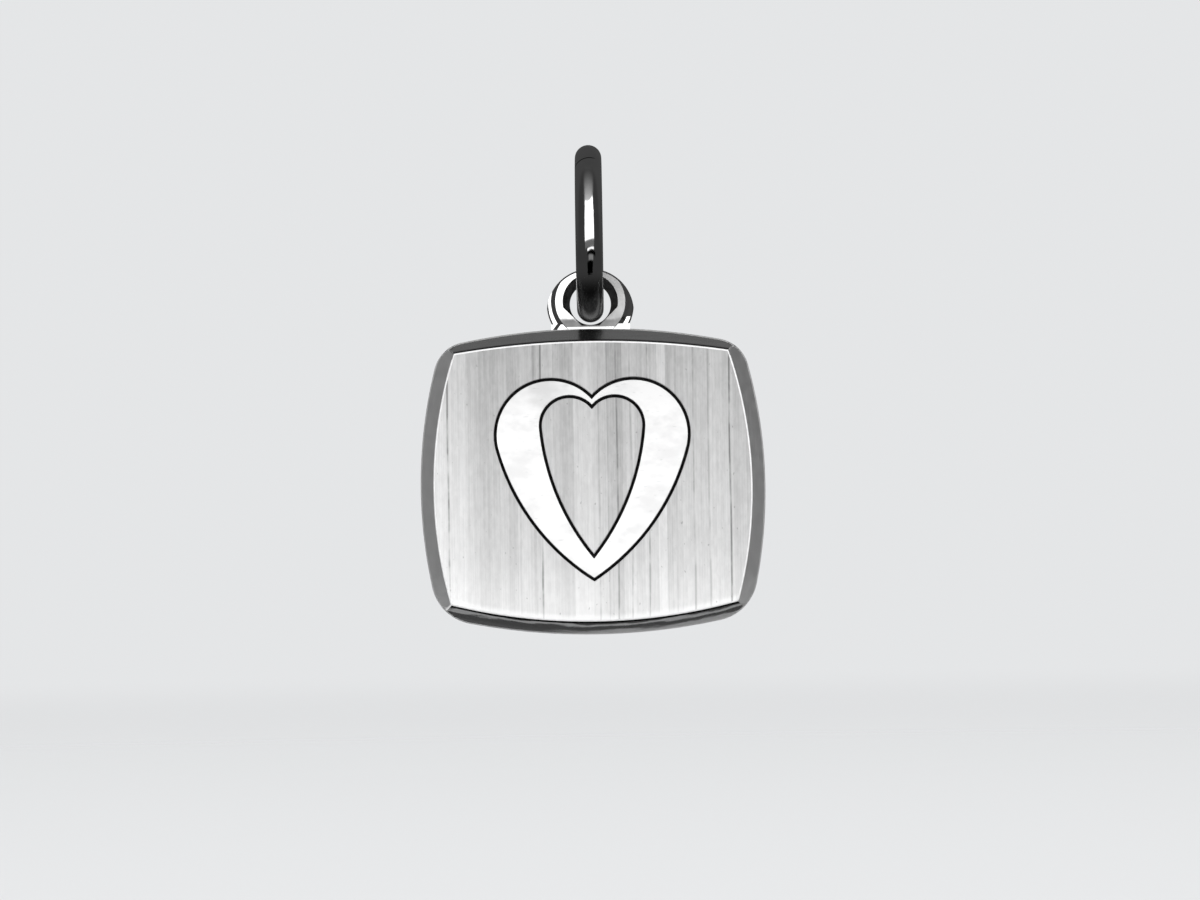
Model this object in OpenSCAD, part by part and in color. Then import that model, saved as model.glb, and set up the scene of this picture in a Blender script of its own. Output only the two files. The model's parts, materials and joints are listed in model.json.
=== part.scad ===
// A cushion-shaped silver pendant: a plate with four bowed edges, rounded corners and a cut rim,
// with a raised heart outline inside an engraved line on its face. An eyelet is soldered to the
// top edge, and a jump ring that takes the chain goes through the eyelet.
// The front faces -Y and +Z is up. The origin is where a chain bears inside the ring's top.

/* [Plate] */
// Width across the bowed sides
plate_w = 13; // [12:0.1:18]
// Height between the bowed top and bottom edges, at the middle
plate_h = 11.55; // [11:0.05:16]
// Thickness from the face to the back
plate_t = 1; // [0.8:0.05:2]
// Radius of the bowed left and right edges
side_r = 18; // [15:0.5:40]
// Radius of the bowed top edge
top_r = 25; // [18:0.5:60]
// Radius of the bowed bottom edge
bottom_r = 24; // [18:0.5:60]
// How far the widest place lies below the middle of the plate
side_drop = 0.25; // [0:0.05:0.8]
// Radius of the two top corners, seen from the front
corner_top_r = 1.35; // [0.3:0.05:2]
// Radius of the two bottom corners, seen from the front
corner_bottom_r = 1.8; // [0.3:0.05:2]
// Chamfer round the edge of the back
back_edge = 0.1; // [0.05:0.01:0.2]

/* [Rim] */
// Width of the cut rim at the middle of each edge, seen from the front
rim_w = 0.52; // [0.3:0.02:0.8]
// How steeply the cut rim falls away from the face, in degrees
rim_angle = 30; // [20:1:40]
// Radius of the line where the face meets the left and right rims
face_side_r = 16.3; // [14:0.1:40]
// Radius of the line where the face meets the top rim
face_top_r = 33; // [18:0.5:60]
// Radius of the line where the face meets the bottom rim
face_bottom_r = 21.5; // [18:0.5:60]

/* [Motif] */
// Radius of the heart's two lobes
lobe_r = 2.05; // [1.8:0.05:2.4]
// Distance of each lobe's centre from the heart's middle line
lobe_x = 1.55; // [1.2:0.05:1.75]
// Radius of the heart's long flanks
flank_r = 8.4; // [6:0.1:12]
// Angle below the level at which a lobe runs into its flank
flank_angle = 15; // [5:1:30]
// Height of the lobes' centres above the middle of the plate
lobe_lift = 1.75; // [0.8:0.05:2]
// Radius of the lobes of the opening in the heart
inner_lobe_r = 1.15; // [0.95:0.05:1.35]
// Distance of the opening's lobe centres from the middle line
inner_lobe_x = 0.85; // [0.6:0.05:0.9]
// How far the opening's lobe centres lie above the outer ones
inner_lift = 0.35; // [0.1:0.05:0.4]
// Radius of the opening's flanks
inner_flank_r = 9; // [6:0.1:11]
// Angle below the level at which the opening's lobe runs into its flank
inner_flank_angle = 5; // [0:1:20]
// How far the heart stands above the face
motif_rise = 0.05; // [0.02:0.01:0.15]
// Width of the engraved line round the heart
line_w = 0.12; // [0.06:0.01:0.2]
// Depth of the engraved line
line_d = 0.12; // [0.05:0.01:0.3]

/* [Eyelet] */
// Bore that the jump ring goes through
bore_d = 1.55; // [1.3:0.05:2]
// Gap between the jump ring's wire and the bottom of the bore
wire_gap = 0.085; // [0.05:0.005:0.1]
// Depth of the eyelet from front to back, flush with the plate's back
eyelet_t = 0.7; // [0.5:0.05:1]
// Width of the eyelet across its sides
eyelet_d = 3.28; // [3.1:0.02:3.6]
// How far the eyelet's crown is lower than a round one's, which leaves less metal above the bore
crown_drop = 0.3; // [0.1:0.02:0.4]
// Outside diameter of the raised collar round each mouth of the bore
collar_d = 2.64; // [2.5:0.02:2.8]
// How far the collars' middle, and the mouths', lies above the bore's
mouth_lift = 0.1; // [0:0.02:0.16]
// Width of a mouth's slope, seen from the front
mouth_w = 0.27; // [0.2:0.01:0.32]
// Depth of a mouth
mouth_d = 0.2; // [0.1:0.01:0.24]
// Metal left between the bore and the plate's top edge
foot_t = 0.125; // [0.1:0.01:0.3]
// Slope of the legs that close the mouths towards the foot, in degrees
leg_angle = 45; // [30:1:60]
// Width of the two feet, from outside to outside
foot_w = 2.8; // [2.4:0.02:3]
// Height of the feet above the plate's top edge
foot_h = 0.42; // [0.2:0.02:0.6]
// How far the feet and the brim round the collars lie back from the eyelet's front and back
brim_set = 0.1; // [0.04:0.01:0.15]
// Width of the thin base under the eyelet
base_w = 2.96; // [2.6:0.02:3.2]
// Height of the base above the plate's top edge
base_h = 0.15; // [0.05:0.01:0.2]
// How far the solder joint goes into the plate's edge
joint_sink = 0.06; // [0.02:0.01:0.15]

/* [Jump ring] */
// Outside diameter of the jump ring
ring_od = 6.7; // [5:0.1:9]
// Thickness of the ring's round wire
wire_d = 1; // [0.7:0.05:1.1]
// Width of the closed seam in the wire
seam_w = 0.03; // [0.02:0.01:0.06]
// Depth of the closed seam
seam_d = 0.04; // [0.02:0.01:0.1]
// Place of the seam, in degrees up from the ring's front
seam_angle = 71; // [0:1:90]

/* [Hidden] */
$fn = 96;

// Ring: its centre lies half an inside diameter below the origin.
wire_r = wire_d / 2;
ring_mid_r = ring_od / 2 - wire_r;
ring_z = -(ring_mid_r - wire_r);

// Eyelet: its bore is round the lowest stretch of the ring's wire, which lies low in it.
bore_r = bore_d / 2;
eyelet_r = eyelet_d / 2;
bore_z = ring_z - ring_mid_r - wire_r - wire_gap + bore_r;
// How much narrower each foot is at its top than at the plate
foot_splay = 0.1;
// Width of the slope from a collar down to the brim, and how far it goes into the brim
collar_slope = 0.16;
collar_sink = 0.05;
// Chamfer round the eyelet's outer edges
eyelet_edge = 0.06;
// Ledge that the mouths leave beside and below the bore
leg_ledge = 0.03;

// Plate: its top edge lies under the bore.
plate_top_z = bore_z - bore_r - foot_t;
plate_mid_z = plate_top_z - plate_h / 2;
face_y = plate_t / 2;
eyelet_y = (plate_t - eyelet_t) / 2;
// How far a corner's circle passes the bowed edges, so that it crosses them and doesn't just touch
corner_cross = 0.002;
// Amount by which a cutting shape passes the surface that it cuts
over = 0.5;

// The point where two circles meet, on the side given by sign.
function meet(c1, r1, c2, r2, sign) =
    let (
        apart = norm(c2 - c1),
        along = (c2 - c1) / apart,
        across = [-along[1], along[0]],
        reach = (r1 * r1 - r2 * r2 + apart * apart) / (2 * apart)
    )
    c1 + along * reach + across * sign * sqrt(r1 * r1 - reach * reach);

// Points on an arc from one angle to another, about one every 4 degrees.
function arc(centre, r, from, to) =
    let (
        steps = ceil(abs(to - from) / 4),
        turn = (to - from) / steps
    )
    [for (i = [0 : steps]) centre + r * [cos(from + turn * i), sin(from + turn * i)]];

// Turns a drawing in the XY plane, seen from the front, so that it stands upright.
module upright() {
    rotate([90, 0, 0]) children();
}

// Centre of the circle that a bowed edge follows, from the edge's own direction.
function edge_centre(direction, r, inset) =
    direction[0] != 0
        ? [direction[0] * (plate_w / 2 - inset - r), -side_drop]
        : [0, direction[1] * (plate_h / 2 - inset - r)];

function wall_r(direction) = direction[0] != 0 ? side_r : direction[1] > 0 ? top_r : bottom_r;
function corner_r(corner) = corner[1] > 0 ? corner_top_r : corner_bottom_r;
function face_r(direction) =
    direction[0] != 0 ? face_side_r : direction[1] > 0 ? face_top_r : face_bottom_r;

EDGES = [[1, 0], [0, 1], [-1, 0], [0, -1]];
CORNERS = [[1, 1], [-1, 1], [-1, -1], [1, -1]];

// The round bodies whose common part is the plate: a wall with a chamfered back for each edge.
module edge_wall(direction) {
    r = wall_r(direction);
    translate(concat(edge_centre(direction, r, 0), [0]))
        rotate_extrude($fn = 360)
            polygon([
                [0, -face_y],
                [r - back_edge, -face_y],
                [r, back_edge - face_y],
                [r, face_y],
                [0, face_y]
            ]);
}

// The cone that leaves the cut rim along one edge.
module edge_rim(direction) {
    r = face_r(direction);
    slope = 1 / tan(rim_angle);
    translate(concat(edge_centre(direction, r, rim_w), [-face_y - over]))
        cylinder(
            h = plate_t + 2 * over,
            r1 = r + (plate_t + over) * slope,
            r2 = r - over * slope,
            $fn = 360
        );
}

// What is taken off outside one rounded corner.
module corner_tip(corner) {
    side = [corner[0], 0];
    end = [0, corner[1]];
    r = corner_r(corner);
    side_c = edge_centre(side, wall_r(side), 0);
    end_c = edge_centre(end, wall_r(end), 0);
    centre = meet(side_c, wall_r(side) - r, end_c, wall_r(end) - r, corner[0] * corner[1]);
    to_side = (centre - side_c) / norm(centre - side_c);
    to_end = (centre - end_c) / norm(centre - end_c);
    reach = 3 * r;
    translate([0, 0, -face_y - over])
        linear_extrude(plate_t + 2 * over)
            difference() {
                polygon([
                    centre,
                    centre + reach * to_side,
                    centre + reach * (to_side + to_end),
                    centre + reach * to_end
                ]);
                translate(centre) circle(r + corner_cross);
            }
}

// Outline of a heart with round lobes, grown outwards by grow.
function heart(r, x, flank, angle, lift, grow) =
    let (
        lobe = [x, lift],
        flank_c = lobe - (flank - r) * [cos(angle), -sin(angle)],
        cleft = 90 + asin(x / (r + grow)),
        tip = -acos(-flank_c[0] / (flank + grow)),
        right = concat(
            arc(lobe, r + grow, cleft, -angle),
            arc(flank_c, flank + grow, -angle, tip)
        ),
        last = len(right) - 1
    )
    concat(right, [for (i = [last - 1 : -1 : 1]) [-right[i][0], right[i][1]]]);

module heart_outer(grow) {
    polygon(heart(lobe_r, lobe_x, flank_r, flank_angle, lobe_lift, grow));
}

module heart_opening(grow) {
    lift = lobe_lift + inner_lift;
    polygon(heart(inner_lobe_r, inner_lobe_x, inner_flank_r, inner_flank_angle, lift, grow));
}

// The heart's stroke, widened by grow on both of its sides.
module heart_stroke(grow) {
    difference() {
        heart_outer(grow);
        heart_opening(-grow);
    }
}

module plate_body() {
    difference() {
        intersection() {
            intersection_for (direction = EDGES) edge_wall(direction);
            intersection_for (direction = EDGES) edge_rim(direction);
        }
        for (corner = CORNERS) corner_tip(corner);
        translate([0, 0, face_y - line_d])
            linear_extrude(line_d + over)
                heart_stroke(line_w);
    }
    translate([0, 0, face_y - 2 * line_d])
        linear_extrude(2 * line_d + motif_rise)
            heart_stroke(0);
}

// A round body whose edges slope by width and depth.
module round_body(r, half, width, depth) {
    rotate_extrude()
        polygon([
            [0, -half],
            [r - width, -half],
            [r, depth - half],
            [r, half - depth],
            [r - width, half],
            [0, half]
        ]);
}

// The eyelet's outside: a brim with a raised collar in front and behind, with a low crown, on two
// feet and a thin base.
module eyelet_body() {
    half = eyelet_t / 2;
    brim = half - brim_set;
    low = -bore_r - foot_t;
    intersection() {
        union() {
            round_body(eyelet_r, brim, eyelet_edge, eyelet_edge);
            translate([0, mouth_lift, 0])
                round_body(collar_d / 2 + collar_slope, half, collar_slope, brim_set + collar_sink);
        }
        translate([0, -crown_drop, 0]) round_body(eyelet_r, half, eyelet_edge, eyelet_edge);
    }
    translate([0, 0, -brim])
        linear_extrude(2 * brim)
            polygon([
                [-foot_w / 2, low - 2 * joint_sink],
                [foot_w / 2, low - 2 * joint_sink],
                [foot_w / 2 - foot_splay, low + foot_h],
                [foot_splay - foot_w / 2, low + foot_h]
            ]);
    translate([-base_w / 2, low - 2 * joint_sink, -half])
        cube([base_w, base_h + 2 * joint_sink, eyelet_t]);
}

// The part of the eyelet's front view that its mouths may open: above the foot and the two legs.
module above_legs() {
    reach = 2 * eyelet_r;
    leg_gap = bore_r + leg_ledge;
    foot_x = leg_gap * (1 - cos(leg_angle)) / sin(leg_angle);
    leg_y = (reach * sin(leg_angle) - leg_gap) / cos(leg_angle);
    polygon([
        [-foot_x, -leg_gap],
        [foot_x, -leg_gap],
        [reach, leg_y],
        [reach, leg_y + reach],
        [-reach, leg_y + reach],
        [-reach, leg_y]
    ]);
}

// The bore, and the sloping mouths at its front and back. Each mouth starts inside the bore.
module eyelet_hole() {
    half = eyelet_t / 2;
    slope = mouth_w / mouth_d;
    inside = mouth_lift + leg_ledge;
    translate([0, 0, -half - over]) cylinder(h = eyelet_t + 2 * over, r = bore_r);
    intersection() {
        for (side = [0, 1])
            mirror([0, 0, side])
                translate([0, mouth_lift, half - mouth_d - inside / slope])
                    cylinder(
                        h = mouth_d + inside / slope + over,
                        r1 = bore_r - inside,
                        r2 = bore_r + mouth_w + over * slope
                    );
        translate([0, 0, -half - over]) linear_extrude(eyelet_t + 2 * over) above_legs();
    }
}

module eyelet() {
    difference() {
        eyelet_body();
        eyelet_hole();
        translate([0, plate_top_z - bore_z - top_r, -eyelet_t / 2 - over])
            cylinder(h = eyelet_t + 2 * over, r = top_r - joint_sink, $fn = 360);
    }
}

module pendant_plate() {
    color("silver") {
        translate([0, 0, plate_mid_z]) upright() plate_body();
        translate([0, eyelet_y, bore_z]) upright() eyelet();
    }
}

// A closed ring of round wire, in the YZ plane, with a fine seam round the wire.
module jump_ring() {
    color("lightgray")
        translate([0, 0, ring_z])
            difference() {
                rotate([0, 90, 0])
                    rotate_extrude()
                        translate([ring_mid_r, 0]) circle(wire_r);
                rotate([180 - seam_angle, 0, 0])
                    translate([0, ring_mid_r, -seam_w / 2])
                        difference() {
                            cylinder(h = seam_w, r = wire_r + over);
                            translate([0, 0, -over])
                                cylinder(h = seam_w + 2 * over, r = wire_r - seam_d);
                        }
            }
}

pendant_plate();
jump_ring();
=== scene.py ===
"""The looks of a cushion-shaped silver pendant with a raised heart, an eyelet and a jump ring."""

import json
import math

import bpy
from mathutils import Matrix, Vector


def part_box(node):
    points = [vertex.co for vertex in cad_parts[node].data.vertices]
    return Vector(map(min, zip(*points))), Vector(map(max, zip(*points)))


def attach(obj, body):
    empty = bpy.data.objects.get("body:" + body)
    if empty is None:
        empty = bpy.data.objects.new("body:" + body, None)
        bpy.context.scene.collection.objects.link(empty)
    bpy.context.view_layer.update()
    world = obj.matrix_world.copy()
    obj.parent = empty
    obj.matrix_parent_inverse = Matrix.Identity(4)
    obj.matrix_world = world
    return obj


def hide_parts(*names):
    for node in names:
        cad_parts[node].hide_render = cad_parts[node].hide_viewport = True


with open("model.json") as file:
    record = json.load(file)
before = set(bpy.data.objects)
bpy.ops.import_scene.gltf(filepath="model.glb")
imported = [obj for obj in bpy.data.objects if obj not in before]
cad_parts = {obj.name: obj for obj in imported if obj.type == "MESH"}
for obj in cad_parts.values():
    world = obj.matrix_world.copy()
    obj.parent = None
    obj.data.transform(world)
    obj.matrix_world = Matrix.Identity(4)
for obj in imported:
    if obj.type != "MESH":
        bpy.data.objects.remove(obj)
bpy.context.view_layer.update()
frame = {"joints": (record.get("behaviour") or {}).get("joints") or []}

# Places come from the frame, in metres. Pieces are modelled in millimetres and then made metres.
MM = 0.001
plate_low, plate_high = (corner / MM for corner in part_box("pendant_plate"))
ring_low, ring_high = (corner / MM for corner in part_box("jump_ring"))
BORE_Z = frame["joints"][0]["pos_m"][2] / MM

# Plate
PLATE_W = plate_high.x - plate_low.x
PLATE_H = 11.55
PLATE_T = 1.0
BOTTOM_Z = plate_low.z
MID_Z = BOTTOM_Z + PLATE_H / 2
TOP_Z = BOTTOM_Z + PLATE_H
FACE_Y = -PLATE_T / 2
SIDE_R = 18.0
TOP_R = 25.0
BOTTOM_R = 24.0
SIDE_DROP = 0.25
CORNER_TOP_R = 1.35
CORNER_BOTTOM_R = 1.8
BACK_EDGE = 0.1
OUTER_EDGE_W = 0.06
POLISHED_EDGE_W = 0.03
POLISHED_ANGLE = 20

# Cut rim
RIM_W = 0.52
RIM_ANGLE = math.radians(30)
RIM_Y = -math.cos(RIM_ANGLE)
FACE_SIDE_R = 16.3
FACE_TOP_R = 33.0
FACE_BOTTOM_R = 21.5

# Each bowed edge: its direction in the front view, the radius of its wall and of its face line
EDGES = (
    (Vector((1, 0)), SIDE_R, FACE_SIDE_R),
    (Vector((0, 1)), TOP_R, FACE_TOP_R),
    (Vector((-1, 0)), SIDE_R, FACE_SIDE_R),
    (Vector((0, -1)), BOTTOM_R, FACE_BOTTOM_R),
)

# Heart: radius and place of its lobes, radius of its flanks, and where a lobe runs into a flank
OUTER = {"lobe_r": 2.05, "lobe_x": 1.55, "flank_r": 8.4, "flank_angle": 15, "lift": 1.75}
INNER = {"lobe_r": 1.15, "lobe_x": 0.85, "flank_r": 9.0, "flank_angle": 5, "lift": 2.1}
HEART_RISE = 0.05
HEART_SINK = 0.04
HEART_EDGE_W = 0.02
HEART_ANGLE = 30
LINE_W = 0.1
LINE_D = 0.12
# Half the width and height of the field of the face that holds the heart and its line
FIELD_X = 3.8
FIELD_Z = 3.95

# Eyelet
BORE_R = 0.775
EYELET_R = 1.64
EYELET_T = 0.7
EYELET_Y = (PLATE_T - EYELET_T) / 2
EYELET_EDGE = 0.06
CROWN_DROP = 0.3
COLLAR_R = 1.32
COLLAR_SLOPE = 0.25
COLLAR_SINK = 0.05
COLLAR_FRONT = EYELET_Y - EYELET_T / 2
BRIM_SET = 0.1
MOUTH_W = 0.27
MOUTH_D = 0.2
MOUTH_LIFT = 0.1
FOOT_T = 0.125
FOOT_W = 2.8
FOOT_H = 0.42
FOOT_SPLAY = 0.1
BASE_W = 2.96
BASE_H = 0.15
JOIN_SET = 0.015
JOINT_SINK = 0.06
LEG_LEDGE = 0.03

# Jump ring, and the seam in its wire: degrees up from the front, how far it is askew, and how far
# its cutter is shifted, so that it is deeper at the left
WIRE_R = (ring_high.x - ring_low.x) / 2
RING_MID_R = (ring_high.y - ring_low.y) / 2 - WIRE_R
RING_CENTRE = Vector((0, 0, (ring_low.z + ring_high.z) / 2))
SEAM_ANGLE = math.radians(56)
SEAM_TILT = math.radians(9)
SEAM_W = 0.06
SEAM_D = 0.04
SEAM_SIDE = 0.08
SEAM_WAY = Vector((0, -math.cos(SEAM_ANGLE), math.sin(SEAM_ANGLE)))
SEAM_SPOT = RING_CENTRE + RING_MID_R * SEAM_WAY

# How far a cutter passes the surface that it cuts
OVER = 0.5
# Points nearer than this are one point
MERGE = 0.002
# Sides of a round hole or body, of a very wide one, and of the seam's cutter
ROUND = 160
WIDE_ROUND = 720
SEAM_ROUND = 96
# Edges that turn by less than this are shaded smooth, in degrees
SHADE_ANGLE = 25
# A place this near a surface lies on it
NEAR = 0.001
# The share of a normal along Y: from where a face counts as flat, from where it is shaded flat,
# up to where it counts as a wall, and from where as the outer edge beside a wall
FLAT = 0.999
FLAT_SHADED = 0.9999
WALL = 0.01
OFF_WALL = 0.03
# How far a normal may be off the cut rim's slope and count as the rim's, and from where it doesn't
RIM_SLACK = 0.004
OFF_RIM = 0.006
# The share of a normal to each side that tells a mitre between two rims
MITRE = 0.12
# The share of a normal that tells an end face of a simple solid
END_FACE = 0.9
# The share of a face's normal towards the bore's axis that makes it part of the bore or its mouth
INWARDS = 0.3
# How far below the face a place may lie and not be in the line's groove
LINE_LIP = 0.02
# How far below the wire's surface a face of the seam's groove lies at least
SEAM_LIP = 0.015

# Pale room, as the camera sees it, and the light that reaches the floor
PALE = (0.78, 0.79, 0.80, 1.0)
DOME_LIGHT = 0.95
# Reflected light where no panel is
STUDIO_DIM = 0.045
# Light that fades from the softbox's top to the ceiling: its brightness, where it starts and ends,
# in degrees up from the front, how quickly it starts, and how far it reaches to the sides
OVERHEAD_LIGHT = 0.62
OVERHEAD_FADE = (40, 100)
OVERHEAD_START = 2
OVERHEAD_SIDES = (-28, 34)
OVERHEAD_SOFT = 8
# Each panel: name, brightness, bearing from the front in degrees and its softness, the same for its
# height, and its slope. A black card has a brightness below 0.
STUDIO_PANELS = (
    ("softbox", 1.7, (-33, 46), 2, (-9, 41), 1.5, 0.06),
    ("grey card under the softbox", 0.12, (-33, 46), 2, (-19, -9), 1, 0.06),
    ("bright strip low in front", 1.6, (-14, 44), 2, (-23, -20.4), 0.6, 0.08),
    ("black card under the strip", -0.045, (-14, 60), 3, (-29, -24.5), 1, 0.08),
    ("card on the table", 0.2, (-4, 40), 2, (-36, -30), 1.5, 0.08),
    ("black card on the table", -0.045, (-20, 40), 4, (-56, -37), 2, 0.08),
    ("wall behind, left", 0.02, (-200, -100), 15, (0, 90), 12, 0.0),
    ("wall behind, right", 0.02, (100, 200), 15, (0, 90), 12, 0.0),
    ("far side, left", 0.35, (-181, -152), 8, (-32, -5), 5, 0.0),
    ("far side, right", 0.35, (152, 181), 8, (-32, -5), 5, 0.0),
)

# Floor
FLOOR_Z = -45
FLOOR_R = 700
FLOOR_TONE = (0.82, 0.83, 0.84, 1.0)
# Where the floor starts to melt into the room, in metres, and the share of its radius where it ends
FLOOR_CLEAR = 0.1
FLOOR_END = 0.9

# Camera: a long lens straight in front, a little to the right, held slightly askew
FRAME_W = 1200
FRAME_H = 900
PX_PER_MM = 26.5
PLATE_PX = (593.0, 481.2)
CAMERA_DISTANCE = 200
CAMERA_TURN = math.radians(0.3)
CAMERA_ROLL = math.radians(0.87)
SENSOR_W = 36.0


def start_fresh():
    """Leaves edit mode and deselects everything."""
    if bpy.context.object and bpy.context.object.mode != "OBJECT":
        bpy.ops.object.mode_set(mode="OBJECT")
    bpy.ops.object.select_all(action="DESELECT")


def only(obj):
    """Selects one object and makes it active."""
    start_fresh()
    obj.select_set(True)
    bpy.context.view_layer.objects.active = obj


def named(name):
    """Names the object that was just added, and settles its place into its mesh."""
    obj = bpy.context.object
    obj.name = name
    obj.data.name = name
    bpy.ops.object.transform_apply(location=True, rotation=True, scale=True)
    return obj


def edit(obj, mode="VERT"):
    """Enters edit mode on one object, to select points, edges or faces."""
    only(obj)
    bpy.ops.object.mode_set(mode="EDIT")
    bpy.ops.mesh.select_mode(type=mode)


def done():
    """Leaves edit mode."""
    bpy.ops.object.mode_set(mode="OBJECT")


def pick(obj, mode, test):
    """Selects the faces or edges of obj that pass the test, and enters edit mode."""
    edit(obj, mode)
    bpy.ops.mesh.select_all(action="DESELECT")
    done()
    for part in obj.data.polygons if mode == "FACE" else obj.data.edges:
        part.select = test(part)
    bpy.ops.object.mode_set(mode="EDIT")


def pick_faces(obj, test):
    """Selects the faces whose normal passes the test, and enters edit mode."""
    pick(obj, "FACE", lambda face: test(face.normal))


def close_up(obj):
    """Merges doubled points and turns all faces outwards."""
    edit(obj)
    bpy.ops.mesh.select_all(action="SELECT")
    bpy.ops.mesh.remove_doubles(threshold=MERGE)
    bpy.ops.mesh.normals_make_consistent(inside=False)
    done()


def cut(obj, tool, operation="DIFFERENCE"):
    """Joins the tool to obj, or cuts obj with it, and clears the tool away."""
    only(obj)
    modifier = obj.modifiers.new("cut", "BOOLEAN")
    modifier.operation = operation
    modifier.object = tool
    modifier.solver = "EXACT"
    bpy.ops.object.modifier_apply(modifier=modifier.name)
    bpy.data.objects.remove(tool)


def soften(obj, width, angle):
    """Rounds every edge sharper than the angle, as polishing does."""
    only(obj)
    modifier = obj.modifiers.new("soften", "BEVEL")
    modifier.width = width
    modifier.segments = 3
    modifier.limit_method = "ANGLE"
    modifier.angle_limit = math.radians(angle)
    modifier.use_clamp_overlap = False
    modifier.miter_outer = "MITER_ARC"
    bpy.ops.object.modifier_apply(modifier=modifier.name)


def on_rim(normal):
    """Whether a face lies on a cut rim."""
    return abs(normal.y - RIM_Y) < RIM_SLACK


def round_the_motif(at):
    """Whether a place lies in the field of the face that holds the heart and its line."""
    return abs(at.x) < FIELD_X and abs(at.z - MID_Z) < FIELD_Z


def smooth(obj):
    """Smooth shading, but for sharp edges, the cut rim and the flat faces in front and behind."""
    only(obj)
    bpy.ops.object.shade_smooth_by_angle(angle=math.radians(SHADE_ANGLE))
    pick_faces(obj, lambda normal: abs(normal.y) > FLAT_SHADED or on_rim(normal))
    bpy.ops.mesh.faces_shade_flat()
    done()


def in_metres(obj):
    """Turns a piece that was modelled in millimetres into metres."""
    only(obj)
    obj.scale = (MM, MM, MM)
    bpy.ops.object.transform_apply(location=True, rotation=True, scale=True)


def cylinder(name, radius, depth, location, rotation, vertices=ROUND):
    """A plain cylinder, which lies along Z before its rotation."""
    start_fresh()
    bpy.ops.mesh.primitive_cylinder_add(
        vertices=vertices, radius=radius, depth=depth, location=location, rotation=rotation
    )
    return named(name)


def meet(c1, r1, c2, r2):
    """The point where two circles meet, on the left of the line from the first to the second."""
    between = c2 - c1
    apart = between.length
    along = between / apart
    across = Vector((-along.y, along.x))
    reach = (r1 * r1 - r2 * r2 + apart * apart) / (2 * apart)
    return c1 + along * reach + across * math.sqrt(r1 * r1 - reach * reach)


def bearing(centre, point):
    """Direction from a centre to a point in the front view, in degrees up from +X."""
    away = point - centre
    return math.degrees(math.atan2(away.y, away.x))


def on_circle(centre, radius, degrees):
    """The point of a circle at that bearing."""
    turn = math.radians(degrees)
    return centre + radius * Vector((math.cos(turn), math.sin(turn)))


def draw_arcs(name, start, arcs, y):
    """Draws one line through arcs (centre, turn in degrees) in front view, by spinning its end."""
    start_fresh()
    bpy.ops.mesh.primitive_plane_add(size=0.1, location=(start.x, y, start.y))
    obj = named(name)
    edit(obj)
    bpy.ops.mesh.select_all(action="SELECT")
    bpy.ops.mesh.merge(type="CENTER")
    for centre, turn in arcs:
        steps = max(round(abs(turn)), round(abs(turn) / 4) + 6)
        bpy.ops.mesh.spin(
            steps=steps,
            angle=math.radians(turn),
            center=(centre.x, y, centre.y),
            axis=(0, 1, 0),
        )
    bpy.ops.mesh.select_all(action="SELECT")
    bpy.ops.mesh.remove_doubles(threshold=MERGE)
    done()
    return obj


def fill_and_raise(obj, depth):
    """Fills a closed line and extrudes it backwards into a solid."""
    edit(obj, "EDGE")
    bpy.ops.mesh.select_all(action="SELECT")
    bpy.ops.mesh.edge_face_add()
    bpy.ops.mesh.extrude_region_move(TRANSFORM_OT_translate={"value": (0, depth, 0)})
    done()
    close_up(obj)


def edge_centre(direction, radius, inset):
    """Centre of the circle that a bowed edge follows, in the front view."""
    if direction.x:
        return Vector((direction.x * (PLATE_W / 2 - inset - radius), MID_Z - SIDE_DROP))
    return Vector((0, MID_Z + direction.y * (PLATE_H / 2 - inset - radius)))


def plate_outline():
    """The plate's outline: four bowed edges joined by four round corners."""
    centres = [edge_centre(direction, radius, 0) for direction, radius, _ in EDGES]
    corners = []
    for i, round_r in enumerate((CORNER_TOP_R, CORNER_TOP_R, CORNER_BOTTOM_R, CORNER_BOTTOM_R)):
        j = (i + 1) % 4
        corners.append(meet(centres[i], EDGES[i][1] - round_r, centres[j], EDGES[j][1] - round_r))
    arcs = []
    for i, centre in enumerate(centres):
        before = bearing(centre, corners[i - 1])
        after = bearing(centre, corners[i])
        arcs.append((centre, (after - before) % 360))
        turn = bearing(centres[(i + 1) % 4], corners[i]) - after
        arcs.append((corners[i], turn % 360))
    start = on_circle(centres[0], SIDE_R, bearing(centres[0], corners[3]))
    return draw_arcs("silver_plate", start, arcs, FACE_Y)


def rim_cutter(direction, radius):
    """The cone whose inside is kept along one edge."""
    centre = edge_centre(direction, radius, RIM_W)
    slope = 1 / math.tan(RIM_ANGLE)
    start_fresh()
    bpy.ops.mesh.primitive_cone_add(
        vertices=WIDE_ROUND,
        radius1=radius + (PLATE_T + OVER) * slope,
        radius2=radius - OVER * slope,
        depth=PLATE_T + 2 * OVER,
        location=(centre.x, 0, centre.y),
        rotation=(math.radians(90), 0, 0),
    )
    return named("rim_cutter")


def heart_solid(name, shape, grow, front_y, depth):
    """A heart with round lobes, grown outwards by grow."""
    lobe_r = shape["lobe_r"] + grow
    flank_r = shape["flank_r"] + grow
    angle = shape["flank_angle"]
    lobe = Vector((shape["lobe_x"], MID_Z + shape["lift"]))
    flank = on_circle(lobe, shape["flank_r"] - shape["lobe_r"], 180 - angle)
    cleft = 90 + math.degrees(math.asin(lobe.x / lobe_r))
    tip = -math.degrees(math.acos(-flank.x / flank_r))
    start = on_circle(lobe, lobe_r, cleft)
    obj = draw_arcs(name, start, [(lobe, -angle - cleft), (flank, tip + angle)], front_y)
    only(obj)
    modifier = obj.modifiers.new("other_half", "MIRROR")
    modifier.merge_threshold = MERGE
    bpy.ops.object.modifier_apply(modifier=modifier.name)
    fill_and_raise(obj, depth)
    return obj


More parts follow.
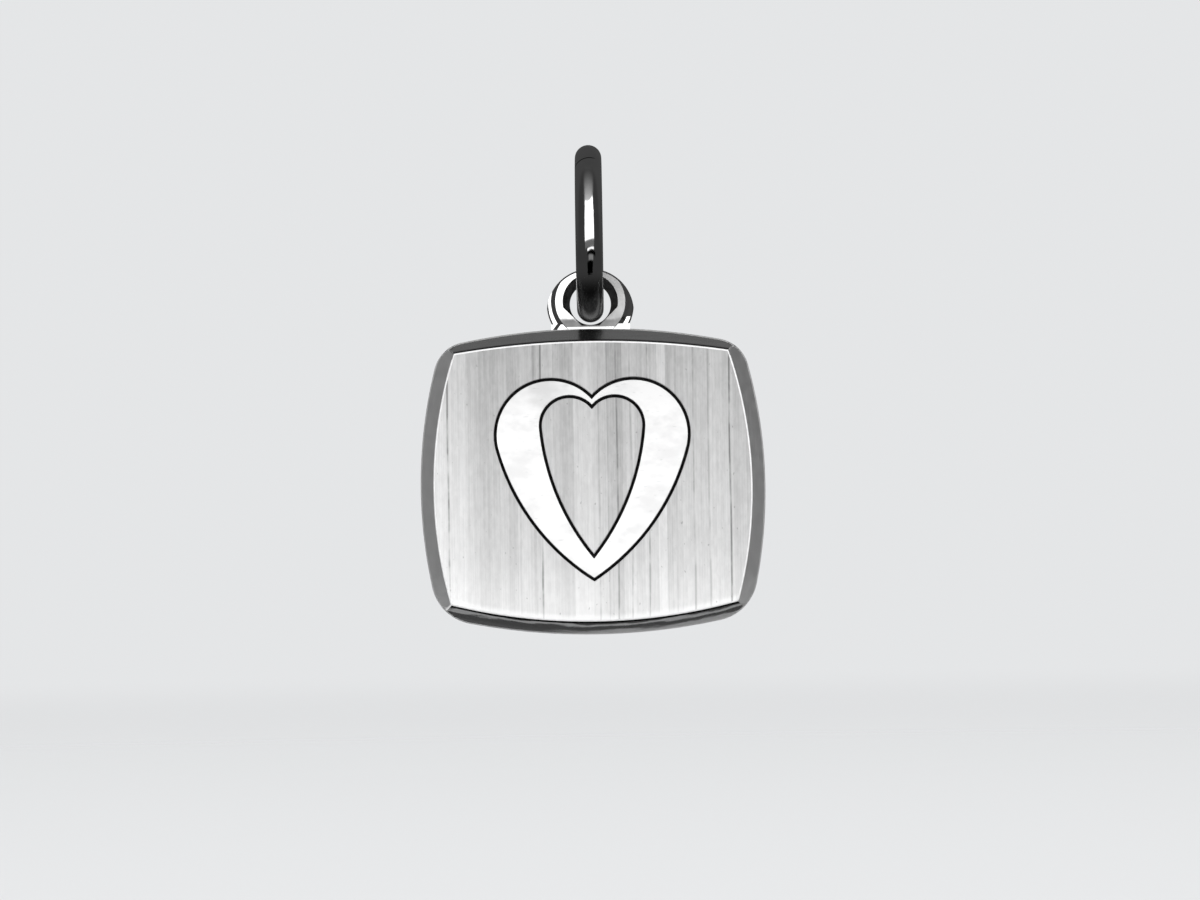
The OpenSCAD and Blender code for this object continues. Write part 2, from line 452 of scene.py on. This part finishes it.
def heart_band(name, grow, front_y, depth):
    """The heart's stroke, widened by grow on both of its sides."""
    band = heart_solid(name, OUTER, grow, front_y, depth)
    cut(band, heart_solid("heart_inside", INNER, -grow, front_y - OVER, depth + 2 * OVER))
    return band


def on_mitre(normal):
    """Whether a face lies on the softened line where two cut rims meet at a corner."""
    leans_both_ways = abs(normal.x) > MITRE and abs(normal.z) > MITRE
    return normal.y < RIM_Y + OFF_RIM and leans_both_ways and not on_rim(normal)


def on_edge(at, normal, from_y, to_y):
    """Whether a face away from the heart has a normal that leans between two shares along Y."""
    return from_y < normal.y < to_y and not round_the_motif(at)


def pick_back_edge(plate):
    """Selects the edges round the back, and enters edit mode."""
    points = plate.data.vertices
    behind_y = FACE_Y + PLATE_T - NEAR
    beside_back = {point.index for point in points if point.co.y > behind_y}
    pick(plate, "EDGE", lambda line: beside_back.issuperset(line.vertices))


def pick_outer_edge(plate):
    """Selects the edges between the cut rim and the walls, and enters edit mode."""
    beside_rim, beside_wall = set(), set()
    for face in plate.data.polygons:
        if on_rim(face.normal):
            beside_rim.update(face.edge_keys)
        elif abs(face.normal.y) < WALL and not round_the_motif(face.center):
            beside_wall.update(face.edge_keys)
    pick(plate, "EDGE", lambda line: line.key in beside_rim and line.key in beside_wall)


def make_plate():
    """The plate: filled outline, back edge, cut rims, the line's groove, and polished edges."""
    plate = plate_outline()
    fill_and_raise(plate, PLATE_T)
    pick_back_edge(plate)
    bpy.ops.mesh.bevel(offset=BACK_EDGE, segments=3, affect="EDGES")
    done()
    for direction, _, face_radius in EDGES:
        cut(plate, rim_cutter(direction, face_radius), "INTERSECT")
    cut(plate, heart_band("pocket", LINE_W, FACE_Y - OVER, LINE_D + OVER))
    close_up(plate)
    pick_outer_edge(plate)
    bpy.ops.mesh.bevel(offset=OUTER_EDGE_W, segments=3, affect="EDGES")
    done()
    soften(plate, POLISHED_EDGE_W, POLISHED_ANGLE)
    smooth(plate)
    in_metres(plate)
    return plate


def make_heart():
    """The raised heart, which stands in the line's groove."""
    depth = HEART_RISE + LINE_D + HEART_SINK
    heart = heart_band("heart_motif", 0, FACE_Y - HEART_RISE, depth)
    close_up(heart)
    soften(heart, HEART_EDGE_W, HEART_ANGLE)
    smooth(heart)
    in_metres(heart)
    return heart


def round_tool(name, radius, depth, lift=0.0):
    """A cylinder along the bore's axis, or that much above it."""
    return cylinder(name, radius, depth, (0, EYELET_Y, BORE_Z + lift), (math.radians(90), 0, 0))


def round_body(name, radius, depth, lift, slope_w, slope_d):
    """A round body whose front and back edges slope by that width and depth."""
    body = round_tool(name, radius, depth - 2 * slope_d, lift)
    shrink = 1 - slope_w / radius
    for side in (-1, 1):
        pick_faces(body, lambda normal: normal.y * side > END_FACE)
        bpy.ops.mesh.extrude_region_move(TRANSFORM_OT_translate={"value": (0, side * slope_d, 0)})
        bpy.ops.transform.resize(value=(shrink, 1, shrink), center_override=(0, 0, BORE_Z + lift))
        done()
    return body


def mouth_cutter(side):
    """The sloping mouth at the front or back of the bore, kept clear of the foot and the legs."""
    start_fresh()
    slope = MOUTH_W / MOUTH_D
    inside = MOUTH_LIFT + LEG_LEDGE
    depth = MOUTH_D + inside / slope + OVER
    bpy.ops.mesh.primitive_cone_add(
        vertices=ROUND,
        radius1=BORE_R + MOUTH_W + OVER * slope,
        radius2=BORE_R - inside,
        depth=depth,
        location=(0, EYELET_Y + side * (EYELET_T / 2 + OVER - depth / 2), BORE_Z + MOUTH_LIFT),
        rotation=(math.radians(side * 90), 0, 0),
    )
    mouth = named("mouth")
    slant = math.sqrt(0.5)
    for down in (Vector((slant, 0, -slant)), Vector((-slant, 0, -slant)), Vector((0, 0, -1))):
        edit(mouth)
        bpy.ops.mesh.select_all(action="SELECT")
        bpy.ops.mesh.bisect(
            plane_co=Vector((0, 0, BORE_Z)) + down * (BORE_R + LEG_LEDGE),
            plane_no=down,
            use_fill=True,
            clear_outer=True,
        )
        done()
    close_up(mouth)
    return mouth


def block(name, width, depth, low, high):
    """A box in the middle of the eyelet's depth, from one height to another."""
    start_fresh()
    bpy.ops.mesh.primitive_cube_add(size=1, location=(0, EYELET_Y, (low + high) / 2))
    bpy.context.object.scale = (width, depth, high - low)
    return named(name)


def make_eyelet():
    """The eyelet: brim, collar, lowered crown, feet and base, with its bore, on the plate's top."""
    brim_t = EYELET_T - 2 * BRIM_SET
    collar_edge = BRIM_SET + COLLAR_SINK
    collar_r = COLLAR_R + COLLAR_SLOPE
    eyelet = round_body("eyelet", EYELET_R, brim_t, 0, EYELET_EDGE, EYELET_EDGE)
    collar = round_body("collar", collar_r, EYELET_T, MOUTH_LIFT, COLLAR_SLOPE, collar_edge)
    cut(eyelet, collar, "UNION")
    crown = round_body("crown", EYELET_R, EYELET_T, -CROWN_DROP, EYELET_EDGE, EYELET_EDGE)
    cut(eyelet, crown, "INTERSECT")
    rest_z = BORE_Z - BORE_R - FOOT_T
    feet_t = brim_t - 2 * JOIN_SET
    feet = block("feet", FOOT_W, feet_t, rest_z - 2 * JOINT_SINK, rest_z + FOOT_H)
    pick_faces(feet, lambda normal: normal.z > END_FACE)
    bpy.ops.transform.resize(value=(1 - 2 * FOOT_SPLAY / FOOT_W, 1, 1))
    done()
    cut(eyelet, feet, "UNION")
    base_t = EYELET_T - 2 * JOIN_SET
    cut(eyelet, block("base", BASE_W, base_t, rest_z - 3 * JOINT_SINK, rest_z + BASE_H), "UNION")
    for side in (-1, 1):
        cut(eyelet, mouth_cutter(side))
    through = EYELET_T + 2 * OVER
    cut(eyelet, round_tool("bore", BORE_R, through))
    middle = (0, EYELET_Y, TOP_Z - TOP_R)
    along_y = (math.radians(90), 0, 0)
    cut(eyelet, cylinder("plate_top", TOP_R - JOINT_SINK, through, middle, along_y, WIDE_ROUND))
    close_up(eyelet)
    smooth(eyelet)
    in_metres(eyelet)
    return eyelet


def seam_cutter():
    """A thin washer round the wire, a little askew, which cuts deeper at the left."""
    along = Vector((0, SEAM_WAY.z, -SEAM_WAY.y))
    lean = (Matrix.Rotation(SEAM_TILT, 3, SEAM_WAY) @ along).to_track_quat("Z", "Y").to_euler()
    washer = cylinder("washer", WIRE_R + OVER, SEAM_W, SEAM_SPOT, lean, SEAM_ROUND)
    hole = SEAM_SPOT + Vector((SEAM_SIDE, 0, 0))
    cut(washer, cylinder("washer_hole", WIRE_R - SEAM_D, SEAM_W + OVER, hole, lean, SEAM_ROUND))
    return washer


def in_seam(at):
    """Whether a place is near the seam and below the wire's surface."""
    flat = Vector((0, at.y, at.z - RING_CENTRE.z)).normalized() * RING_MID_R + RING_CENTRE
    return (at - SEAM_SPOT).length < WIRE_R + SEAM_W and (at - flat).length < WIRE_R - SEAM_LIP


def make_ring():
    """The jump ring, with its seam."""
    start_fresh()
    bpy.ops.mesh.primitive_torus_add(
        major_segments=360,
        minor_segments=72,
        major_radius=RING_MID_R,
        minor_radius=WIRE_R,
        location=RING_CENTRE,
        rotation=(0, math.radians(90), 0),
    )
    ring = named("silver_ring")
    cut(ring, seam_cutter())
    close_up(ring)
    smooth(ring)
    in_metres(ring)
    return ring


class Nodes:
    """A node tree being filled: its nodes are added one by one and linked as they come."""

    def __init__(self, tree):
        self.tree = tree

    def feed(self, socket, value):
        """Sets a socket to a number or colour, or links it to the socket that drives it."""
        if isinstance(value, bpy.types.NodeSocket):
            self.tree.links.new(value, socket)
        else:
            socket.default_value = value

    def node(self, kind, inputs=(), **settings):
        """Adds a node of that kind, with its inputs fed."""
        made = self.tree.nodes.new("ShaderNode" + kind)
        for key, value in settings.items():
            setattr(made, key, value)
        for socket, value in dict(inputs).items():
            self.feed(made.inputs[socket], value)
        return made

    def math(self, operation, a, b=0.0):
        """The result of one sum."""
        return self.node("Math", {0: a, 1: b}, operation=operation).outputs[0]

    def add(self, a, b):
        """The first plus the second."""
        return self.math("ADD", a, b)

    def times(self, a, b):
        """The first times the second."""
        return self.math("MULTIPLY", a, b)

    def minus(self, a, b):
        """The first less the second."""
        return self.math("SUBTRACT", a, b)

    def spread(self, value, low, high, to_low, to_high, smooth=True):
        """Turns the range low to high of a value into to_low to to_high."""
        return self.node(
            "MapRange",
            {0: value, 1: low, 2: high, 3: to_low, 4: to_high},
            interpolation_type="SMOOTHSTEP" if smooth else "LINEAR",
        ).outputs[0]

    def between(self, value, nothing, full):
        """A share that grows from 0 to 1 as the value goes from nothing to full."""
        return self.spread(value, nothing, full, 0.0, 1.0)

    def window(self, value, low, high, soft):
        """A share of 1 where the value lies from low to high, which fades to 0 past both."""
        rise = self.between(value, low - soft, low + soft)
        return self.times(rise, self.between(value, high + soft, high - soft))

    def gray(self, value):
        """A gray of that tone."""
        return self.node("CombineColor", {0: value, 1: value, 2: value}).outputs[0]

    def length(self, vector):
        """How long a vector is."""
        return self.node("VectorMath", {0: vector}, operation="LENGTH").outputs["Value"]


class Finish(Nodes):
    """A material being mixed, on the place on its piece."""

    def __init__(self, name):
        self.material = bpy.data.materials.new(name)
        self.material.use_nodes = True
        super().__init__(self.material.node_tree)
        self.shader = self.tree.nodes["Principled BSDF"]

    def place(self):
        """The place on the piece, in metres."""
        return self.node("TexCoord").outputs["Object"]

    def across(self, axis):
        """The place along one axis, in millimetres."""
        parts = self.node("SeparateXYZ", {0: self.place()}).outputs
        return self.math("DIVIDE", parts["XYZ".index(axis)], MM)

    def planks(self, per_mm, seed):
        """Upright strips of random width: a random tone for each, and how far off its middle is."""
        wobble = self.times(self.noise((0.4, 0.4, 0.25), seed=seed), 0.15)
        spot = self.add(self.times(self.across("X"), per_mm), wobble)
        cell = self.node(
            "TexVoronoi", {"W": self.add(spot, seed), "Scale": 1.0}, voronoi_dimensions="1D"
        )
        tone = self.node("SeparateColor", {0: cell.outputs["Color"]}).outputs[0]
        return tone, self.math("DIVIDE", cell.outputs["Distance"], per_mm)

    def off_edge(self, direction, radius):
        """How far a place lies outside the face's line along one edge, in millimetres."""
        centre = edge_centre(direction, radius, RIM_W)
        shift = (-centre.x * MM, 0, -centre.y * MM)
        spot = self.node(
            "Mapping", {"Vector": self.place(), "Location": shift, "Scale": (1, 0, 1)}
        )
        return self.minus(self.math("DIVIDE", self.length(spot.outputs[0]), MM), radius)

    def noise(self, per_mm, detail=2.0, roughness=0.5, seed=0.0):
        """A noise with that many waves to the millimetre along X, Y and Z."""
        scale = tuple(value / MM for value in per_mm)
        shift = (seed, seed, seed)
        spot = self.node("Mapping", {"Vector": self.place(), "Scale": scale, "Location": shift})
        return self.node(
            "TexNoise",
            {"Vector": spot.outputs[0], "Scale": 1.0, "Detail": detail, "Roughness": roughness},
        ).outputs["Fac"]

    def marks(self, per_mm, seed, detail=2.0):
        """A noise that is alike in all directions."""
        return self.noise((per_mm, per_mm, per_mm), detail, seed=seed)

    def vary(self, noise, low, high, smooth=True):
        """Turns the range that a noise mostly has into low to high."""
        return self.spread(noise, 0.3, 0.7, low, high, smooth)

    def blend(self, share, at_none, at_full, smooth=True):
        """From one value to another, by a share between 0 and 1."""
        return self.spread(share, 0.0, 1.0, at_none, at_full, smooth)

    def metal(self, tone, roughness, mirror=1.0):
        """Silver: a colour and a roughness, or sockets that vary them, and its mirroring share."""
        self.feed(self.shader.inputs["Base Color"], tone)
        self.feed(self.shader.inputs["Roughness"], roughness)
        self.shader.inputs["Metallic"].default_value = mirror

    def bump(self, height, depth_mm):
        """Relief of that depth, from a height between 0 and 1."""
        made = self.node("Bump", {"Height": height, "Distance": depth_mm * MM, "Strength": 1.0})
        self.feed(self.shader.inputs["Normal"], made.outputs[0])


def brushed_silver():
    """The face: strips of brush lines up and down, a few scratches and specks, brighter below."""
    f = Finish("brushed_silver")
    broad, _ = f.planks(1.5, 3.0)
    narrow, _ = f.planks(3.2, 11.0)
    strength, off_line = f.planks(1.7, 29.0)
    hairs = f.noise((16.0, 0.01, 0.2), roughness=0.6, seed=29.0)
    grain = f.noise((7.0, 7.0, 2.5), roughness=0.6, seed=17.0)
    specks = f.noise((8.0, 8.0, 5.0), 1.0, seed=23.0)
    fading = f.noise((1.0, 1.0, 0.7), 3.0, 0.6, seed=37.0)
    off_middle = f.math("ABSOLUTE", f.across("X"))
    off_bottom = f.off_edge(Vector((0, -1)), FACE_BOTTOM_R)
    # Light and shade over the whole face
    tone = f.spread(f.across("Z"), TOP_Z, BOTTOM_Z, 0.51, 0.85, smooth=False)
    tone = f.add(tone, f.spread(off_middle, 1.0, 5.0, -0.05, 0.03))
    tone = f.times(tone, f.spread(f.across("X"), -6.0, 6.0, 1.055, 0.88, smooth=False))
    tone = f.add(tone, f.spread(off_bottom, -0.3, -0.04, 0.0, 0.2))
    tone = f.add(tone, f.spread(f.across("Z"), MID_Z - 2.2, MID_Z - 5.0, 0.0, 0.1))
    # Brush lines
    tone = f.add(tone, f.blend(broad, -0.085, 0.085, smooth=False))
    tone = f.add(tone, f.blend(narrow, -0.055, 0.055, smooth=False))
    tone = f.add(tone, f.vary(hairs, -0.035, 0.035))
    tone = f.add(tone, f.vary(grain, -0.03, 0.03))
    # Scratches and specks
    scratch = f.times(f.spread(off_line, 0.015, 0.05, 1.0, 0.0), f.between(strength, 0.25, 0.85))
    scratch = f.times(scratch, f.spread(fading, 0.35, 0.6, 0.2, 1.0))
    tone = f.times(tone, f.blend(scratch, 1.0, 0.42, smooth=False))
    tone = f.times(tone, f.spread(specks, 0.7, 0.78, 1.0, 0.7))
    f.metal(f.gray(tone), 0.44, 0.75)
    f.shader.inputs["Anisotropic"].default_value = 0.8
    f.bump(f.minus(f.vary(hairs, 0.6, 1.0), f.times(scratch, 0.6)), 0.003)
    return f.material


def cut_silver(name, roughness, top_tone, bottom_tone):
    """The cut rim and the wall at one side: satin, with faint marks of the cutter, worn below, and
    painted shade that darkens it towards the top.
    """
    f = Finish(name)
    # Painted shade: the tone runs from top_tone at the top to bottom_tone, lighter, at the bottom
    tone = f.spread(f.across("Z"), MID_Z + 4.0, MID_Z - 4.0, top_tone, bottom_tone, smooth=False)
    worn = f.spread(f.across("Z"), MID_Z - 3.2, MID_Z - 4.6, 0.0, 0.09)
    rough = f.vary(f.marks(3.0, 5.0), roughness - 0.03, roughness + 0.03)
    f.metal(f.gray(tone), f.add(rough, worn), 0.87)
    f.bump(f.noise((12.0, 12.0, 0.6), seed=47.0), 0.003)
    return f.material


def cut_top_silver():
    """The cut rim at the top: painted a darker tone, and painted darkest as shade in the corner at
    the face.
    """
    f = Finish("cut_top_silver")
    # Painted shade: a dark line beside the face, and a darker tone over the rest of the rim
    tone = f.spread(f.off_edge(Vector((0, 1)), FACE_TOP_R), 0.06, 0.12, 0.04, 0.315)
    f.metal(f.gray(tone), f.vary(f.marks(3.0, 5.0), 0.12, 0.18), 0.97)
    f.bump(f.noise((0.6, 12.0, 12.0), seed=47.0), 0.002)
    return f.material


def cut_bottom_silver():
    """The cut rim at the bottom: painted reflections of wavy light streaks along it, and a line
    painted black as shade in the corner at the face.
    """
    f = Finish("cut_bottom_silver")
    off_face = f.off_edge(Vector((0, -1)), FACE_BOTTOM_R)
    spot = f.node("CombineXYZ", {0: f.times(f.across("X"), 0.5), 1: f.times(off_face, 3.0)})
    waves = f.node("TexNoise", {"Vector": spot.outputs[0], "Scale": 1.0, "Detail": 4.0})
    waves = waves.outputs["Fac"]
    wavy = f.add(off_face, f.vary(waves, -0.08, 0.08, smooth=False))
    # Painted reflections: an inner and an outer wavy light streak, the outer one fading towards the
    # left
    inner = f.times(f.between(wavy, 0.1, 0.16), f.between(wavy, 0.25, 0.17))
    outer = f.times(f.between(wavy, 0.3, 0.42), f.spread(f.across("X"), -3.0, 1.5, 0.2, 1.0))
    light = f.math("MAXIMUM", inner, outer)
    # Painted shade: black in the corner at the face
    tone = f.times(f.blend(light, 0.22, 0.95), f.spread(off_face, 0.08, 0.11, 0.03, 1.0))
    f.metal(f.gray(tone), f.blend(light, 0.2, 0.4), 0.8)
    f.bump(waves, 0.006)
    return f.material


def edge_highlight_silver(name, mirror):
    """Edges: a bright line painted on as a highlight along the polished edge."""
    f = Finish(name)
    f.metal(f.gray(f.vary(f.marks(4.0, 19.0), 0.85, 0.97)), 0.35, mirror)
    return f.material


def polished_silver():
    """The heart: polished, with faint wipe marks and hairlines, and painted shade over its upper
    part.
    """
    f = Finish("polished_silver")
    marks = f.noise((0.7, 0.7, 1.2), 3.0, 0.6, seed=7.0)
    hairs = f.noise((3.0, 3.0, 14.0), 1.0, seed=31.0)
    tone = f.vary(marks, 0.6, 0.76)
    # Painted shade: darker towards the heart's top
    tone = f.times(tone, f.spread(f.across("Z"), MID_Z + 0.5, MID_Z + 3.8, 1.0, 0.8))
    tone = f.minus(tone, f.spread(hairs, 0.68, 0.76, 0.0, 0.08))
    f.metal(f.gray(tone), f.vary(marks, 0.12, 0.08), 0.72)
    f.bump(f.add(marks, f.times(hairs, 0.2)), 0.004)
    return f.material


def bright_silver():
    """The eyelet's slopes and base, and the feet: polished bright."""
    f = Finish("bright_silver")
    f.metal((0.93, 0.93, 0.94, 1.0), f.vary(f.marks(2.0, 7.0), 0.08, 0.14))
    return f.material


def collar_silver():
    """The eyelet's flat face: bright at the left; satin at the right and low above the foot, with
    painted shade there, darkest low down.
    """
    f = Finish("collar_silver")
    marks = f.marks(2.5, 41.0)
    wavy = f.add(f.across("Z"), f.vary(marks, -0.05, 0.05))
    side = f.between(f.across("X"), -0.1, 0.6)
    low = f.between(wavy, BORE_Z - 0.48, BORE_Z - 0.68)
    base = f.between(f.across("Z"), BORE_Z - 0.87, BORE_Z - 0.84)
    # Painted shade, with a rougher satin finish: the right side and the low part above the foot are
    # darker
    satin_and_shade = f.times(f.math("MAXIMUM", side, low), base)
    shade_tone = f.blend(f.times(low, base), 0.62, 0.34)
    tone = f.add(f.blend(satin_and_shade, 0.9, shade_tone), f.vary(marks, -0.06, 0.06))
    f.metal(f.gray(tone), f.blend(satin_and_shade, 0.12, 0.5, smooth=False), 0.92)
    f.bump(marks, 0.003)
    return f.material


def brim_silver():
    """The eyelet's brim: polished, with painted shade, black at the right above the foot and along
    a slanting line at the lower left.
    """
    f = Finish("brim_silver")
    side = f.between(f.across("X"), -0.1, 0.3)
    above_foot = f.between(f.across("Z"), BORE_Z - 0.5, BORE_Z - 0.46)
    lean = f.times(f.minus(f.across("Z"), BORE_Z - 0.79), 0.73)
    off_shade_line = f.math("ABSOLUTE", f.minus(f.add(f.across("X"), 1.23), lean))
    low = f.between(f.across("Z"), BORE_Z - 0.7, BORE_Z - 0.74)
    shade_line = f.times(f.between(off_shade_line, 0.09, 0.07), low)
    # Painted shade: black at the right above the foot, and along a slanting line at the lower left
    brim_shade = f.math("MAXIMUM", f.times(side, above_foot), shade_line)
    f.metal(f.gray(f.blend(brim_shade, 0.93, 0.03)), 0.15)
    return f.material


def bore_silver():
    """The bore and its mouth: painted dark grey as shade in the hole."""
    f = Finish("bore_silver")
    f.metal(f.gray(f.vary(f.marks(3.0, 43.0), 0.2, 0.4)), 0.3, 0.95)
    return f.material


def ring_silver():
    """The ring's drawn wire: polished and a little grey; rougher and painted dark as shade where it
    sits in the eyelet.
    """
    f = Finish("ring_silver")
    marks = f.marks(2.0, 9.0)
    # Painted shade: the wire turns dark, and rougher, where it sits in the eyelet
    rough_and_shaded = f.between(f.across("Z"), BORE_Z + 1.3, BORE_Z + 0.3)
    tone = f.add(f.blend(rough_and_shaded, 0.76, 0.1), f.vary(marks, -0.02, 0.02))
    f.metal(f.gray(tone), f.add(f.blend(rough_and_shaded, 0.05, 0.2), f.vary(marks, 0.0, 0.03)))
    f.bump(marks, 0.004)
    return f.material


def blackened_silver():
    """The engraved line round the heart and the ring's seam: black from tarnish."""
    f = Finish("blackened_silver")
    marks = f.marks(6.0, 13.0, 3.0)
    f.metal(f.gray(f.vary(marks, 0.004, 0.02)), 0.7, 0.5)
    f.shader.inputs["Specular IOR Level"].default_value = 0.1
    f.bump(marks, 0.005)
    return f.material


def give(obj, *materials):
    """Puts materials on a piece. The first covers all of it until it is painted."""
    for material in materials:
        obj.data.materials.append(material)


def paint(obj, index, test):
    """Gives the material of that index to the faces whose centre (mm) and normal pass the test."""
    for face in obj.data.polygons:
        if test(face.center / MM, face.normal):
            face.material_index = index


def studio_light(n):
    """What the silver mirrors: a dark room with a softbox and cards in front and a lit ceiling."""
    way = n.node("SeparateXYZ", {0: n.node("TexCoord").outputs["Generated"]}).outputs
    ahead = n.times(way[1], -1.0)
    turn = n.math("DEGREES", n.math("ARCTAN2", way[0], ahead))
    height = n.math("DEGREES", n.math("ARCSINE", way[2]))
    side = n.math("DEGREES", n.math("ARCSINE", way[0]))
    over = n.math("DEGREES", n.math("ARCTAN2", way[2], ahead))

    start, end = OVERHEAD_FADE
    fade = n.spread(over, start, end, 1.0, 0.0, smooth=False)
    rise = n.spread(over, start - OVERHEAD_START, start + OVERHEAD_START, 0.0, 1.0, smooth=False)
    glow = n.times(n.times(fade, fade), rise)
    glow = n.times(glow, n.window(side, *OVERHEAD_SIDES, OVERHEAD_SOFT))
    total = n.add(n.times(glow, OVERHEAD_LIGHT), STUDIO_DIM)
    for _, strength, turns, turn_soft, heights, height_soft, slope in STUDIO_PANELS:
        level = n.minus(height, n.times(turn, slope))
        panel = n.times(n.window(turn, *turns, turn_soft), n.window(level, *heights, height_soft))
        total = n.add(total, n.times(panel, strength))
    return n.math("MAXIMUM", total, 0.0)


def studio():
    """The studio that is mirrored, seen by the camera as a plain pale room."""
    world = bpy.data.worlds.new("studio")
    bpy.context.scene.world = world
    world.use_nodes = True
    world.node_tree.nodes.clear()
    n = Nodes(world.node_tree)
    seen = n.node("LightPath").outputs
    mirrored = n.node("Background", {"Color": n.gray(studio_light(n))})
    dome = n.node("Background", {"Color": (1, 1, 1, 1), "Strength": DOME_LIGHT})
    pale = n.node("Background", {"Color": PALE, "Strength": 1.0})
    mirrored, dome, pale = (made.outputs[0] for made in (mirrored, dome, pale))
    rest = n.node("MixShader", {0: seen["Is Diffuse Ray"], 1: mirrored, 2: dome}).outputs[0]
    mix = n.node("MixShader", {0: seen["Is Camera Ray"], 1: rest, 2: pale}).outputs[0]
    n.node("OutputWorld", {0: mix})


def floor():
    """A plain pale floor that melts into the room."""
    start_fresh()
    bpy.ops.mesh.primitive_circle_add(
        vertices=96, radius=FLOOR_R, fill_type="NGON", location=(0, 0, FLOOR_Z)
    )
    obj = named("floor")
    in_metres(obj)
    f = Finish("pale_floor")
    f.shader.inputs["Base Color"].default_value = FLOOR_TONE
    f.shader.inputs["Roughness"].default_value = 0.9
    f.shader.inputs["Specular IOR Level"].default_value = 0.0
    fade = f.spread(f.length(f.place()), FLOOR_CLEAR, FLOOR_R * MM * FLOOR_END, 1.0, 0.0)
    f.feed(f.shader.inputs["Alpha"], fade)
    give(obj, f.material)
    obj.visible_glossy = False


def camera():
    """The camera, aimed so that the plate comes where the photograph has it."""
    back = Vector((math.sin(CAMERA_TURN), -math.cos(CAMERA_TURN), 0))
    level = Vector((math.cos(CAMERA_TURN), math.sin(CAMERA_TURN), 0))
    up = Vector((0, 0, 1))
    right = level * math.cos(CAMERA_ROLL) - up * math.sin(CAMERA_ROLL)
    top = level * math.sin(CAMERA_ROLL) + up * math.cos(CAMERA_ROLL)
    aim = Vector((0, 0, MID_Z))
    aim += right * ((FRAME_W / 2 - PLATE_PX[0]) / PX_PER_MM)
    aim += top * ((PLATE_PX[1] - FRAME_H / 2) / PX_PER_MM)
    data = bpy.data.cameras.new("camera")
    data.sensor_width = SENSOR_W
    data.lens = SENSOR_W * CAMERA_DISTANCE * PX_PER_MM / FRAME_W
    data.clip_start = 0.01
    data.clip_end = 2.0
    obj = bpy.data.objects.new("camera", data)
    bpy.context.scene.collection.objects.link(obj)
    place = (aim + back * CAMERA_DISTANCE) * MM
    obj.matrix_world = Matrix.LocRotScale(place, Matrix((right, top, back)).transposed(), None)
    bpy.context.scene.camera = obj


plate = make_plate()
give(
    plate,
    # Lit and shaded copies of one rim finish: the right rim is painted darker than the left, and
    # the corner mitres are painted dark as shade
    cut_silver("cut_left_silver", 0.37, 0.82, 0.99),
    brushed_silver(),
    blackened_silver(),
    cut_top_silver(),
    cut_bottom_silver(),
    # The face's edge and the outer edge are painted bright as highlights
    edge_highlight_silver("face_edge_highlight", 0.3),
    edge_highlight_silver("outer_edge_highlight", 0.65),
    cut_silver("cut_right_silver", 0.31, 0.52, 0.88),
    cut_silver("cut_corner_silver", 0.37, 0.3, 0.3),
)
FACE, LINE, TOP, BOTTOM, FACE_EDGE, OUTER_EDGE, RIGHT, CORNER = range(1, 9)
paint(plate, TOP, lambda at, way: abs(way.z) > abs(way.x) and at.z > MID_Z)
paint(plate, BOTTOM, lambda at, way: abs(way.z) > abs(way.x) and at.z < MID_Z)
paint(plate, FACE, lambda at, way: way.y < -FLAT and at.y < FACE_Y + NEAR)
paint(plate, FACE, lambda at, way: way.y > FLAT)
paint(plate, RIGHT, lambda at, way: abs(way.x) > abs(way.z) and at.x > 0 and way.y < FLAT)
paint(plate, FACE_EDGE, lambda at, way: on_edge(at, way, -FLAT, RIM_Y - OFF_RIM))
paint(plate, RIGHT, lambda at, way: on_mitre(way) and at.z < MID_Z and at.x > 0)
# The mitres at the top are painted dark as shade
paint(plate, CORNER, lambda at, way: on_mitre(way) and at.z > MID_Z)
paint(plate, OUTER_EDGE, lambda at, way: on_edge(at, way, RIM_Y + OFF_RIM, -OFF_WALL))
paint(plate, LINE, lambda at, way: FACE_Y + LINE_LIP < at.y < 0 and round_the_motif(at))
paint(plate, FACE, lambda at, way: at.y <= FACE_Y + LINE_LIP and round_the_motif(at))

heart = make_heart()
give(heart, polished_silver())

eyelet = make_eyelet()
give(eyelet, bright_silver(), collar_silver(), brim_silver(), bore_silver())
COLLAR, BRIM, BORE = range(1, 4)
paint(eyelet, BRIM, lambda at, way: way.y < -FLAT)
paint(eyelet, COLLAR, lambda at, way: way.y < -FLAT and at.y < COLLAR_FRONT + JOIN_SET / 2)
paint(eyelet, BORE, lambda at, way: Vector((at.x, at.z - BORE_Z)).dot((way.x, way.z)) < -INWARDS)

ring = make_ring()
give(ring, ring_silver(), bpy.data.materials["blackened_silver"])
SEAM = 1
paint(ring, SEAM, lambda at, way: in_seam(at))

for piece, body, node_name, slot in (
    (plate, "plate", "pendant_plate", "brushed_silver"),
    (heart, "plate", "pendant_plate", "brushed_silver"),
    (eyelet, "plate", "pendant_plate", "brushed_silver"),
    (ring, "ring", "jump_ring", "polished_silver"),
):
    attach(piece, body)
    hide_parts(node_name)

bpy.context.scene.view_settings.view_transform = "Standard"
studio()
floor()
camera()
